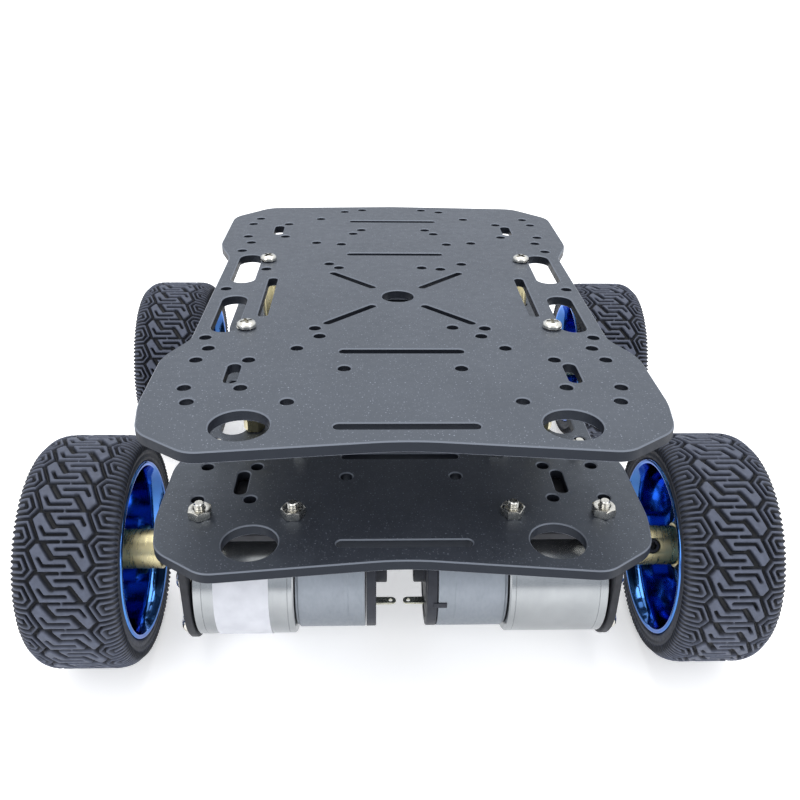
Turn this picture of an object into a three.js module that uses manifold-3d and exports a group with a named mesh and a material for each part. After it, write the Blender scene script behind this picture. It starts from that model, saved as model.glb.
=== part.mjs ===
// Four wheel robot chassis: two aluminium decks on brass standoffs, with four bracketed
// gearmotors that each drive a rubber-tyred wheel through a brass hex coupling.
// Millimetres, +Z up, the front of the robot towards -Y, the ground at Z = 0.
// The origin is on the ground, below the middle of the object's box.

import * as THREE from 'three';
import { mergeVertices } from 'three/addons/utils/BufferGeometryUtils.js';
import Module from 'manifold-3d';

const manifoldLibrary = await Module();
manifoldLibrary.setup();

// ---------------------------------------------------------------- driving dimensions

const GAP = 0.3;                    // air kept between pieces that touch on the real object

// Running gear
const WHEEL_RADIUS = 32;
const TYRE_WIDTH = 25.2;
const WHEEL_INNER_X = 71.2;         // inner side of each tyre, from the centreline
const WHEELBASE = 120.5;
const AXLE_MIDDLE_Y = 2.5;          // the nose overhangs more than the tail
const AXLE_Z = WHEEL_RADIUS;

// Decks
const PLATE_THICKNESS = 3;
const LOWER_PLATE_BASE_Z = 51.2;
const STANDOFF_LENGTH = 30;
const UPPER_PLATE_BASE_Z = LOWER_PLATE_BASE_Z + PLATE_THICKNESS + STANDOFF_LENGTH;
const M3_HOLE_RADIUS = 1.7;
const SLOT_PATTERN_Y = -5;          // middle of the deck's strap slots and centre hole

// Standoffs and their screws
const STANDOFF_X = 43.1;
const STANDOFF_YS = [-29.3, 27.7];
const STANDOFF_ACROSS_FLATS = 5.5;
const M3_RADIUS = 1.5;
const PAN_HEAD_RADIUS = 2.75;
const PAN_HEAD_HEIGHT = 2.1;
const STANDOFF_SCREW_REACH = 5;     // thread inside the standoff

// Gearmotors, along X from the centreline outwards
const GEARBOX_RADIUS = 18.2;
const GEARBOX_DROP = 7;             // gearbox axis below the wheel axle
const MOTOR_RADIUS = 16.5;
const TERMINAL_TIP_X = 1;
const REAR_BOSS_X = 3.8;
const END_CAP_X = 6.9;
const MOTOR_CAN_X = 9.6;
const GEARBOX_X = 28.7;
const GEARBOX_FACE_X = 56.2;
const GEARBOX_BOSS_RADIUS = 6;
const GEARBOX_BOSS_LENGTH = 5.5;
const SHAFT_RADIUS = 3;
const SHAFT_START_X = 43;
const SHAFT_END_X = 77;

// Motor brackets
const BRACKET_THICKNESS = 2;
const BRACKET_HALF_WIDTH = 19;
const BRACKET_INNER_X = 21;
const BRACKET_BOLT_XS = [28, 51.5];
const BRACKET_BOLT_Y = 15;          // either side of the axle

// Wheel couplings
const COUPLING_ACROSS_FLATS = 12;
const COUPLING_BARREL_RADIUS = 5.5;
const COUPLING_START_X = 66;
const COUPLING_HEX_X = 78.2;        // where its round barrel meets its hexagon
const COUPLING_END_X = 84.5;
const WHEEL_SCREW_RADIUS = 2;
const SET_SCREW_X = 70.7;
const SET_SCREW_RADIUS = 2;
const SET_SCREW_TURN = (55 * Math.PI) / 180;  // from straight up, towards -Y

// Rims
const RIM_RADIUS = 24.7;
const RIM_BARREL_RADIUS = 23.6;
const RIM_WALL = 1.6;
const RIM_WEB_X = 86.4;
const RIM_WEB_THICKNESS = 3;
const RIM_HUB_X = 80.4;
const RIM_HUB_RADIUS = 9;
const RIM_WINDOWS = 6;

// Facets round one full turn
const ROUND = 24;
const SMALL_ROUND = 10;
const SCREW = 8;
const HOLE = 6;

// ---------------------------------------------------------------- materials

function finish(color, roughness, metalness) {
  return new THREE.MeshStandardMaterial({ color, roughness, metalness });
}

const MATERIALS = {
  plate: finish(0x4c5058, 0.55, 0.6),
  brass: finish(0xb59a55, 0.3, 1.0),
  nickel: finish(0xb9bbbd, 0.25, 1.0),
  rubber: finish(0x2b2e35, 0.85, 0.0),
  foam: finish(0x55554f, 0.95, 0.0),
  rim: finish(0x1c4fc4, 0.12, 1.0),
  gearbox: finish(0xb4b8bd, 0.35, 1.0),
  motorCan: finish(0x8f979d, 0.45, 0.9),
  blackPlastic: finish(0x23262c, 0.5, 0.0),
  blackSteel: finish(0x1a1b1e, 0.4, 0.8),
  bracket: finish(0x24262b, 0.5, 0.4),
};

// ---------------------------------------------------------------- solid helpers

// A closed geometry as a manifold solid.
function toSolid(geometry) {
  const bare = geometry.clone();
  bare.deleteAttribute('normal');
  bare.deleteAttribute('uv');
  const merged = mergeVertices(bare, 1e-4);
  const index = merged.index.array;
  const triangles = [];
  for (let i = 0; i < index.length; i += 3) {
    const [a, b, c] = [index[i], index[i + 1], index[i + 2]];
    if (a !== b && b !== c && c !== a) {
      triangles.push(a, b, c);
    }
  }
  return new manifoldLibrary.Manifold(new manifoldLibrary.Mesh({
    numProp: 3,
    vertProperties: new Float32Array(merged.attributes.position.array),
    triVerts: new Uint32Array(triangles),
  }));
}

// A manifold solid as a geometry.
function toGeometry(solid) {
  const mesh = solid.getMesh();
  const geometry = new THREE.BufferGeometry();
  geometry.setAttribute('position', new THREE.BufferAttribute(mesh.vertProperties, 3));
  geometry.setIndex(new THREE.BufferAttribute(mesh.triVerts, 1));
  geometry.computeVertexNormals();
  return geometry;
}

// The first solid with the others cut out of it.
function cut(body, ...tools) {
  return tools.reduce((solid, tool) => solid.subtract(tool), body);
}

// A turned solid about the X axis. The profile is a list of [x, radius] pairs.
function turned(profile, segments) {
  const points = profile.map(([x, radius]) => new THREE.Vector2(radius, x));
  return new THREE.LatheGeometry(points, segments).rotateZ(-Math.PI / 2);
}

// A solid rod about the X axis, from one x to another.
function rodX(startX, endX, radius, segments) {
  return turned([[startX, 0], [startX, radius], [endX, radius], [endX, 0]], segments);
}

// A flat outline, with its holes, raised by a height along Z.
function raised(outline, holes, height) {
  const shape = new THREE.Shape(outline);
  shape.holes = holes.map((points) => new THREE.Path(points));
  return new THREE.ExtrudeGeometry(shape, { depth: height, bevelEnabled: false });
}

// The same, but raised along X, with the outline drawn in the (Y, Z) plane.
function raisedX(outline, holes, startX, endX) {
  const geometry = raised(outline, holes, endX - startX);
  const basis = new THREE.Matrix4().makeBasis(
    new THREE.Vector3(0, 1, 0),
    new THREE.Vector3(0, 0, 1),
    new THREE.Vector3(1, 0, 0),
  );
  return geometry.applyMatrix4(basis).translate(startX, 0, 0);
}

function arcPoints(x, y, radius, startAngle, endAngle, steps) {
  const points = [];
  for (let i = 0; i <= steps; i += 1) {
    const angle = startAngle + ((endAngle - startAngle) * i) / steps;
    points.push(new THREE.Vector2(x + radius * Math.cos(angle), y + radius * Math.sin(angle)));
  }
  return points;
}

function circlePoints(x, y, radius, segments = HOLE) {
  const lastAngle = 2 * Math.PI * (1 - 1 / segments);
  return arcPoints(x, y, radius, 0, lastAngle, segments - 1);
}

// A slot with round ends, between the middles of its two end arcs.
function slotPoints(startX, startY, endX, endY, width, stepsPerEnd = 2) {
  const heading = Math.atan2(endY - startY, endX - startX);
  const quarter = Math.PI / 2;
  const radius = width / 2;
  return [
    ...arcPoints(endX, endY, radius, heading - quarter, heading + quarter, stepsPerEnd),
    ...arcPoints(startX, startY, radius, heading + quarter, heading + 3 * quarter, stepsPerEnd),
  ];
}

// A regular hexagon with two of its flats facing up and down.
function hexagonPoints(x, y, acrossFlats) {
  return circlePoints(x, y, acrossFlats / Math.sqrt(3), 6);
}

// A closed outline with each corner rounded. A corner is [x, y, how far the curve reaches].
function roundedOutline(corners, steps = 2) {
  const count = corners.length;
  const points = [];
  corners.forEach(([x, y, reach], i) => {
    const corner = new THREE.Vector2(x, y);
    if (reach === 0) {
      points.push(corner);
      return;
    }
    const before = new THREE.Vector2(...corners[(i + count - 1) % count]);
    const after = new THREE.Vector2(...corners[(i + 1) % count]);
    const start = corner.clone().add(before.sub(corner).setLength(reach));
    const end = corner.clone().add(after.sub(corner).setLength(reach));
    points.push(...new THREE.QuadraticBezierCurve(start, corner, end).getPoints(steps));
  });
  return points;
}

// ---------------------------------------------------------------- decks

// Right half of the deck's edge, from the nose round to the tail.
const DECK_RIGHT_CORNERS = [
  [47.7, -95.7, 3],
  [60.5, -86.5, 4],
  [62.7, -74, 3],
  [62.7, -48.5, 4],
  [57.2, -37.3, 3],
  [56.9, 31.3, 3],
  [62, 44.5, 4],
  [62, 79.5, 4],
  [49.3, 92.9, 4],
];
const DECK_NOSE = [0, -90.6, 8];
const DECK_TAIL = [0, 95.4, 0];

const PAIRED_HOLES = [
  [53.5, 1.3], [53.5, -35.8], [53.5, 38.5],
  [24, -29.4], [22.4, -34.8], [22.4, 24.9],
  [15, -55], [15, 58.7], [12, 63.4], [19, 46.2], [19, 88], [12, 90.5],
];
const SINGLE_HOLES = [[-19, 21.1], [-43, 19.6], [14.9, -28.8], [8.7, 21.2], [14.9, 19.9]];

const CABLE_HOLE = { x: 37.7, y: -83.8, radius: 6.9 };
const CENTRE_HOLE_RADIUS = 4.9;
const STRAP_SLOT = { reach: 15.3, width: 2.8, offsets: [-79.4, -39.8, 39.9, 79.4] };
const CROSS_SLOT = { start: 11.2, end: 29.2, width: 2.4 };
const LONG_SLOT = { x: 39.7, reach: 14.6, width: 3 };
const WINDOW = { x: 49.4, reach: 10, width: 7.6, middles: [-18.6, 20.1], stepsPerEnd: 4 };
const AXLE_SLOT = { x: 43, reach: 3.8, width: 3.5 };
const AXLE_HOLES = [[39.9, 7.8], [53.5, 7.8]];

function axleY(end) {
  return AXLE_MIDDLE_Y + (end * WHEELBASE) / 2;
}

function deckOutline() {
  const left = DECK_RIGHT_CORNERS.map(([x, y, reach]) => [-x, y, reach]).reverse();
  return roundedOutline([DECK_NOSE, ...DECK_RIGHT_CORNERS, DECK_TAIL, ...left]);
}

function deckHoles() {
  const holes = [circlePoints(0, SLOT_PATTERN_Y, CENTRE_HOLE_RADIUS, SMALL_ROUND)];
  const m3 = (x, y) => holes.push(circlePoints(x, y, M3_HOLE_RADIUS));
  const slot = (...ends) => holes.push(slotPoints(...ends));

  SINGLE_HOLES.forEach(([x, y]) => m3(x, y));
  STRAP_SLOT.offsets.forEach((offset) => {
    const y = SLOT_PATTERN_Y + offset;
    slot(-STRAP_SLOT.reach, y, STRAP_SLOT.reach, y, STRAP_SLOT.width);
  });
  for (const side of [-1, 1]) {
    PAIRED_HOLES.forEach(([x, y]) => m3(side * x, y));
    STANDOFF_YS.forEach((y) => m3(side * STANDOFF_X, y));
    holes.push(circlePoints(side * CABLE_HOLE.x, CABLE_HOLE.y, CABLE_HOLE.radius, SMALL_ROUND));
    WINDOW.middles.forEach((y) => {
      const [x, reach] = [side * WINDOW.x, WINDOW.reach];
      slot(x, y - reach, x, y + reach, WINDOW.width, WINDOW.stepsPerEnd);
    });
    const longX = side * LONG_SLOT.x;
    const [lowY, highY] = [SLOT_PATTERN_Y - LONG_SLOT.reach, SLOT_PATTERN_Y + LONG_SLOT.reach];
    slot(longX, lowY, longX, highY, LONG_SLOT.width);
    for (const end of [-1, 1]) {
      const [c0, c1] = [CROSS_SLOT.start * Math.SQRT1_2, CROSS_SLOT.end * Math.SQRT1_2];
      const crossY = (c) => SLOT_PATTERN_Y + end * c;
      slot(side * c0, crossY(c0), side * c1, crossY(c1), CROSS_SLOT.width);
      const y = axleY(end);
      slot(side * AXLE_SLOT.x, y - AXLE_SLOT.reach, side * AXLE_SLOT.x, y + AXLE_SLOT.reach,
        AXLE_SLOT.width);
      for (const step of [-1, 1]) {
        AXLE_HOLES.forEach(([x, offset]) => m3(side * x, y + step * offset));
        BRACKET_BOLT_XS.forEach((x) => m3(side * x, y + step * BRACKET_BOLT_Y));
      }
    }
  }
  return holes;
}

function deckGeometry() {
  const blank = toSolid(raised(deckOutline(), [], PLATE_THICKNESS));
  const tools = deckHoles().map((points) => (
    toSolid(raised(points, [], PLATE_THICKNESS + 2).translate(0, 0, -1))
  ));
  return toGeometry(cut(blank, ...tools));
}

// ---------------------------------------------------------------- standoffs and screws

function standoffGeometry() {
  const bore = circlePoints(0, 0, M3_RADIUS + GAP / 2);
  return raised(hexagonPoints(0, 0, STANDOFF_ACROSS_FLATS), [bore], STANDOFF_LENGTH - 2 * GAP)
    .translate(0, 0, GAP);
}

// A pan head screw, head up, with its seat at z = 0.
function deckScrewGeometry() {
  const reach = PLATE_THICKNESS + STANDOFF_SCREW_REACH;
  const shank = M3_RADIUS - GAP / 2;
  const profile = [
    [-reach, 0], [-reach, shank], [GAP, shank], [GAP, PAN_HEAD_RADIUS],
    [PAN_HEAD_HEIGHT * 0.6, PAN_HEAD_RADIUS * 0.9], [PAN_HEAD_HEIGHT, PAN_HEAD_RADIUS * 0.45],
    [PAN_HEAD_HEIGHT, 0],
  ];
  return turned(profile, SCREW).rotateY(-Math.PI / 2);
}

// ---------------------------------------------------------------- gearmotor, outwards along +X

// The outputs turn about the X axis; the gearbox and motor sit below it by GEARBOX_DROP.
function gearboxGeometry() {
  const body = toSolid(rodX(GEARBOX_X + GAP, GEARBOX_FACE_X - GAP, GEARBOX_RADIUS, ROUND)
    .translate(0, 0, -GEARBOX_DROP));
  const bossEnd = GEARBOX_FACE_X + GEARBOX_BOSS_LENGTH;
  const boss = toSolid(rodX(GEARBOX_FACE_X - 2, bossEnd, GEARBOX_BOSS_RADIUS, SMALL_ROUND));
  const bore = toSolid(rodX(SHAFT_START_X - GAP, bossEnd + 1, SHAFT_RADIUS + GAP, SMALL_ROUND));
  return toGeometry(cut(body.add(boss), bore));
}

// A drawn can that steps down where it enters the gearbox.
function motorCanGeometry() {
  const step = 0.6;
  return turned([
    [MOTOR_CAN_X + GAP, 0], [MOTOR_CAN_X + GAP, MOTOR_RADIUS],
    [GEARBOX_X - step, MOTOR_RADIUS], [GEARBOX_X - step, MOTOR_RADIUS - step],
    [GEARBOX_X, MOTOR_RADIUS - step], [GEARBOX_X, 0],
  ], ROUND).translate(0, 0, -GEARBOX_DROP);
}

// The moulded rear cover with its bearing boss and its two solder tabs.
function motorEndCapGeometry() {
  const bossRadius = 4.5;
  const tabOffset = 13;
  const tab = { thickness: 0.8, width: 2.8, root: 2 };
  const cover = toSolid(turned([
    [REAR_BOSS_X, 0], [REAR_BOSS_X, bossRadius], [END_CAP_X, bossRadius],
    [END_CAP_X, MOTOR_RADIUS], [MOTOR_CAN_X, MOTOR_RADIUS], [MOTOR_CAN_X, 0],
  ], ROUND));
  const length = END_CAP_X + tab.root - TERMINAL_TIP_X;
  const withTabs = [-1, 1].reduce((solid, side) => {
    const box = new THREE.BoxGeometry(length, tab.width, tab.thickness)
      .translate(TERMINAL_TIP_X + length / 2, 0, side * tabOffset);
    return solid.add(toSolid(box));
  }, cover);
  return toGeometry(withTabs).translate(0, 0, -GEARBOX_DROP);
}

// A round shaft with the flat that a set screw bears on.
function outputShaftGeometry() {
  const flatAngle = 0.7;
  const section = arcPoints(0, 0, SHAFT_RADIUS, flatAngle, 2 * Math.PI - flatAngle, SMALL_ROUND);
  return raisedX(section, [], SHAFT_START_X, SHAFT_END_X).rotateX(Math.PI / 2 + SET_SCREW_TURN);
}

// ---------------------------------------------------------------- motor bracket

// An angle: a face plate that the gearbox bolts to, and a flange under the lower deck.
function bracketGeometry() {
  const topZ = LOWER_PLATE_BASE_Z - AXLE_Z - GAP;
  const roundRadius = GEARBOX_RADIUS + 0.8;
  const startX = GEARBOX_FACE_X;
  const endX = startX + BRACKET_THICKNESS;
  const screwCircle = 15.5;
  const outline = [
    new THREE.Vector2(BRACKET_HALF_WIDTH, topZ),
    new THREE.Vector2(-BRACKET_HALF_WIDTH, topZ),
    ...arcPoints(0, -GEARBOX_DROP, roundRadius, Math.PI * 1.02, Math.PI * 1.98, ROUND / 3),
  ];
  const faceHoles = [circlePoints(0, 0, GEARBOX_BOSS_RADIUS + GAP, SMALL_ROUND)];
  for (let i = 0; i < 6; i += 1) {
    const angle = Math.PI / 6 + (i * Math.PI) / 3;
    const [y, z] = [screwCircle * Math.cos(angle), screwCircle * Math.sin(angle) - GEARBOX_DROP];
    faceHoles.push(circlePoints(y, z, M3_HOLE_RADIUS));
  }
  const face = toSolid(raisedX(outline, faceHoles, startX, endX));
  const flangeOutline = roundedOutline([
    [BRACKET_INNER_X, -BRACKET_HALF_WIDTH, 4], [endX, -BRACKET_HALF_WIDTH, 0],
    [endX, BRACKET_HALF_WIDTH, 0], [BRACKET_INNER_X, BRACKET_HALF_WIDTH, 4],
  ]);
  const flangeHoles = BRACKET_BOLT_XS.flatMap((x) => [-1, 1].map(
    (side) => circlePoints(x, side * BRACKET_BOLT_Y, M3_HOLE_RADIUS),
  ));
  const flange = raised(flangeOutline, flangeHoles, BRACKET_THICKNESS)
    .translate(0, 0, topZ - BRACKET_THICKNESS);
  return toGeometry(face.add(toSolid(flange)));
}

// ---------------------------------------------------------------- wheel, outwards along +X

function tyreGeometry() {
  const [x0, x1] = [WHEEL_INNER_X, WHEEL_INNER_X + TYRE_WIDTH];
  const side = WHEEL_RADIUS - 4.4;
  const bead = RIM_RADIUS + GAP;
  const lining = WHEEL_RADIUS - 3.2;
  const wall = 2.4;
  return turned([
    [x0, bead], [x0, side], [x0 + 1.4, WHEEL_RADIUS - 1.9], [x0 + 4.8, WHEEL_RADIUS],
    [x1 - 4.8, WHEEL_RADIUS], [x1 - 1.4, WHEEL_RADIUS - 1.9], [x1, side], [x1, bead],
    [x1 - wall, bead], [x1 - wall - 1, lining], [x0 + wall + 1, lining],
    [x0 + wall, bead], [x0, bead],
  ], ROUND);
}

// The sponge ring that fills the tyre.
function tyreFoamGeometry() {
  const inset = 5;
  const [x0, x1] = [WHEEL_INNER_X + inset, WHEEL_INNER_X + TYRE_WIDTH - inset];
  const [inner, outer] = [RIM_RADIUS + GAP, WHEEL_RADIUS - 3.2 - GAP];
  return turned([[x0, inner], [x0, outer], [x1, outer], [x1, inner], [x0, inner]], ROUND);
}

// A dished rim: a barrel with a lip at each end, a web with windows, and a hub with a hex socket.
function rimGeometry() {
  const [x0, x1] = [WHEEL_INNER_X - 0.2, WHEEL_INNER_X + TYRE_WIDTH + 0.2];
  const inside = RIM_BARREL_RADIUS - RIM_WALL;
  const webEnd = RIM_WEB_X + RIM_WEB_THICKNESS;
  const lip = 2;
  const body = toSolid(turned([
    [RIM_HUB_X, 0], [RIM_HUB_X, RIM_HUB_RADIUS], [RIM_WEB_X, RIM_HUB_RADIUS],
    [RIM_WEB_X, inside], [x0 + lip, inside], [x0, RIM_RADIUS],
    [x0 + 2 * lip, RIM_BARREL_RADIUS], [x1 - 2 * lip, RIM_BARREL_RADIUS],
    [x1, RIM_RADIUS], [x1 - lip, inside], [webEnd, inside],
    [webEnd, RIM_HUB_RADIUS - 2], [webEnd + 1, RIM_HUB_RADIUS - 2], [webEnd + 1, 0],
  ], ROUND));
  const socket = toSolid(raisedX(hexagonPoints(0, 0, COUPLING_ACROSS_FLATS + 2 * GAP), [],
    RIM_HUB_X - 1, COUPLING_END_X + GAP));
  const screwBore = toSolid(rodX(RIM_HUB_X, webEnd + 2, WHEEL_SCREW_RADIUS + GAP, SMALL_ROUND));
  const step = (2 * Math.PI) / RIM_WINDOWS;
  const windows = Array.from({ length: RIM_WINDOWS }, (_, i) => {
    const middle = (i + 0.5) * step;
    const outline = [
      ...arcPoints(0, 0, inside - 1.5, middle - 0.36 * step, middle + 0.36 * step, 4),
      ...arcPoints(0, 0, RIM_HUB_RADIUS + 1.2, middle + 0.28 * step, middle - 0.28 * step, 2),
    ];
    return toSolid(raisedX(outline, [], RIM_WEB_X - 1, webEnd + 2));
  });
  return toGeometry(cut(body, socket, screwBore, ...windows));
}

// A coupling with a round barrel on the shaft and a hexagon in the hub.
function couplingGeometry() {
  const barrel = toSolid(rodX(COUPLING_START_X, COUPLING_HEX_X + 1, COUPLING_BARREL_RADIUS, ROUND));
  const hexagon = toSolid(raisedX(hexagonPoints(0, 0, COUPLING_ACROSS_FLATS), [],
    COUPLING_HEX_X, COUPLING_END_X));
  const shaftBore = toSolid(rodX(COUPLING_START_X - 1, SHAFT_END_X + GAP, SHAFT_RADIUS + GAP,
    SMALL_ROUND));
  const screwBore = toSolid(rodX(SHAFT_END_X, COUPLING_END_X + 1, WHEEL_SCREW_RADIUS + GAP / 2,
    SMALL_ROUND));
  const setBore = toSolid(radial(0, COUPLING_ACROSS_FLATS, SET_SCREW_RADIUS + GAP / 2));
  return toGeometry(cut(barrel.add(hexagon), shaftBore, screwBore, setBore));
}

// A rod that points out from the axle where the set screw goes.
function radial(start, end, radius) {
  return rodX(start, end, radius, SCREW).rotateY(-Math.PI / 2).rotateX(SET_SCREW_TURN)
    .translate(SET_SCREW_X, 0, 0);
}

// A headless screw in the coupling's barrel, bearing on the flat of the shaft.
function setScrewGeometry() {
  const start = SHAFT_RADIUS + GAP;
  return radial(start, start + 2, SET_SCREW_RADIUS - GAP / 2);
}

// The button head screw that holds the rim on the coupling.
function wheelScrewGeometry() {
  const seat = RIM_WEB_X + RIM_WEB_THICKNESS + 1 + GAP;
  const headRadius = 3.8;
  const headHeight = 2.2;
  const shank = WHEEL_SCREW_RADIUS - GAP / 2;
  return turned([
    [SHAFT_END_X + 2 * GAP, 0], [SHAFT_END_X + 2 * GAP, shank], [seat, shank],
    [seat, headRadius], [seat + headHeight * 0.6, headRadius * 0.85],
    [seat + headHeight, headRadius * 0.4], [seat + headHeight, 0],
  ], SCREW);
}

// ---------------------------------------------------------------- assembly

const chassis = new THREE.Group();

function addPiece(parent, name, geometry, material, x = 0, y = 0, z = 0) {
  const mesh = new THREE.Mesh(geometry, material);
  mesh.name = name;
  mesh.position.set(x, y, z);
  parent.add(mesh);
  return mesh;
}

const deck = deckGeometry();
addPiece(chassis, 'bottom_plate', deck, MATERIALS.plate, 0, 0, LOWER_PLATE_BASE_Z);
addPiece(chassis, 'top_plate', deck, MATERIALS.plate, 0, 0, UPPER_PLATE_BASE_Z);

const CORNERS = [
  { name: 'front_left', side: -1, end: -1 },
  { name: 'front_right', side: 1, end: -1 },
  { name: 'rear_left', side: -1, end: 1 },
  { name: 'rear_right', side: 1, end: 1 },
];

const standoff = standoffGeometry();
const deckScrew = deckScrewGeometry();
for (const { name, side, end } of CORNERS) {
  const x = side * STANDOFF_X;
  const y = STANDOFF_YS[(end + 1) / 2];
  const lowerTopZ = LOWER_PLATE_BASE_Z + PLATE_THICKNESS;
  const upperTopZ = UPPER_PLATE_BASE_Z + PLATE_THICKNESS;
  addPiece(chassis, `standoff_${name}`, standoff, MATERIALS.brass, x, y, lowerTopZ);
  addPiece(chassis, `top_screw_${name}`, deckScrew, MATERIALS.nickel, x, y, upperTopZ);
  addPiece(chassis, `bottom_screw_${name}`, deckScrew, MATERIALS.nickel, x, y,
    LOWER_PLATE_BASE_Z).rotation.x = Math.PI;
}

const DRIVE_PIECES = [
  ['bracket', bracketGeometry(), MATERIALS.bracket],
  ['gearbox', gearboxGeometry(), MATERIALS.gearbox],
  ['motor_can', motorCanGeometry(), MATERIALS.motorCan],
  ['motor_end_cap', motorEndCapGeometry(), MATERIALS.blackPlastic],
  ['output_shaft', outputShaftGeometry(), MATERIALS.nickel],
  ['hex_coupling', couplingGeometry(), MATERIALS.brass],
  ['set_screw', setScrewGeometry(), MATERIALS.blackSteel],
  ['rim', rimGeometry(), MATERIALS.rim],
  ['tyre_foam', tyreFoamGeometry(), MATERIALS.foam],
  ['tyre', tyreGeometry(), MATERIALS.rubber],
  ['wheel_screw', wheelScrewGeometry(), MATERIALS.nickel],
];

for (const { name, side, end } of CORNERS) {
  const corner = new THREE.Group();
  corner.position.set(0, axleY(end), AXLE_Z);
  corner.rotation.z = side > 0 ? 0 : Math.PI;
  for (const [piece, geometry, material] of DRIVE_PIECES) {
    addPiece(corner, `${piece}_${name}`, geometry, material);
  }
  chassis.add(corner);
}

export default chassis;
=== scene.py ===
"""The looks of the four wheel robot chassis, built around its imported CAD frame."""

import math

import bmesh
import bpy
import numpy as np
from mathutils import Matrix, Vector


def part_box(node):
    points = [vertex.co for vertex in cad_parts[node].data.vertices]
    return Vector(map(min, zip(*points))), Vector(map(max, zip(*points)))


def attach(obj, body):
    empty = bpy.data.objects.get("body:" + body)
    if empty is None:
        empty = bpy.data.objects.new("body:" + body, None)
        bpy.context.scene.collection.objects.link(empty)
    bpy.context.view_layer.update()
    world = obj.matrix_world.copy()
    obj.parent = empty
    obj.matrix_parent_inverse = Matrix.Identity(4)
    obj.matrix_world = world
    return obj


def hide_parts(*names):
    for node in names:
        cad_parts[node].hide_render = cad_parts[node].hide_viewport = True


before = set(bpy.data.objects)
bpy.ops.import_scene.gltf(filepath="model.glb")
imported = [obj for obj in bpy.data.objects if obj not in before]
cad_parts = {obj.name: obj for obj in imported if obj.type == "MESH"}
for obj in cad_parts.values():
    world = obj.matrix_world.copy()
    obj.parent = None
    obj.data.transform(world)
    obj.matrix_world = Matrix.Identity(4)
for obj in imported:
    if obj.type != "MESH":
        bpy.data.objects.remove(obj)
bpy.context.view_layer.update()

# ------------------------------------------------------------------ sizes, in millimetres

MM = 0.001
GAP = 0.3                   # the air that the CAD leaves between two neighbouring pieces

PLATE_THICKNESS = 3.0
PLATE_CHAMFER = 0.3
M3_HOLE_RADIUS = 1.7
SLOT_PATTERN_Y = -5.0
AXLE_MIDDLE_Y = 2.5
WHEELBASE = 120.5
STANDOFF_LENGTH = 30.0
STANDOFF_X = 43.1
STANDOFF_YS = (-29.3, 27.7)

GEARBOX_RADIUS = 18.2
GEARBOX_DROP = 7.0
GEARBOX_SCREWS = 6
MOTOR_RADIUS = 16.5
TERMINAL_TIP_X = 1.0
TERMINAL_OFFSET = 13.0
REAR_BOSS_X = 3.8
END_CAP_X = 6.9
MOTOR_CAN_X = 9.6
GEARBOX_X = 28.7
GEARBOX_FACE_X = 56.2
GEARBOX_BOSS_RADIUS = 6.0
GEARBOX_BOSS_LENGTH = 5.5
CAN_STEP = 0.6              # how much narrower the can is beside the gearbox, and for how long
KEY_LENGTH = 2.6
KEY_WIDTH = 1.6
SHAFT_RADIUS = 3.0
SHAFT_START_X = 43.0
SHAFT_END_X = 77.0

BRACKET_THICKNESS = 2.0
BRACKET_HALF_WIDTH = 19.0
BRACKET_INNER_X = 21.0
BRACKET_BOLT_XS = (28.0, 51.5)
BRACKET_BOLT_Y = 15.0
GEARBOX_SCREW_CIRCLE = 15.5

COUPLING_ACROSS_FLATS = 12.0
COUPLING_BARREL_RADIUS = 5.5
COUPLING_START_X = 66.0
COUPLING_HEX_X = 78.2
COUPLING_END_X = 84.5
SET_SCREW_X = 70.7
SET_SCREW_RADIUS = 2.0
SET_SCREW_TURN = math.radians(55)   # from straight up, towards -Y

WHEEL_RADIUS = 32.0
WHEEL_INNER_X = 71.2
TYRE_WIDTH = 25.2
WHEEL_MIDDLE_X = WHEEL_INNER_X + TYRE_WIDTH / 2
RIM_RADIUS = 24.7
RIM_BARREL_RADIUS = 23.6
RIM_WALL = 1.6
RIM_WEB_X = 86.4
RIM_WEB_THICKNESS = 3.0
RIM_HUB_X = 80.4
RIM_HUB_RADIUS = 9.0
RIM_WINDOWS = 6

TREAD_PITCHES = 26
TREAD_STEPS = 28            # mesh columns in one pitch of the tread
TREAD_DEPTH = 1.3

CORNERS = [
    ("front_left", -1, -1), ("front_right", 1, -1),
    ("rear_left", -1, 1), ("rear_right", 1, 1),
]

# ------------------------------------------------------------------ node material helpers


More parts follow.
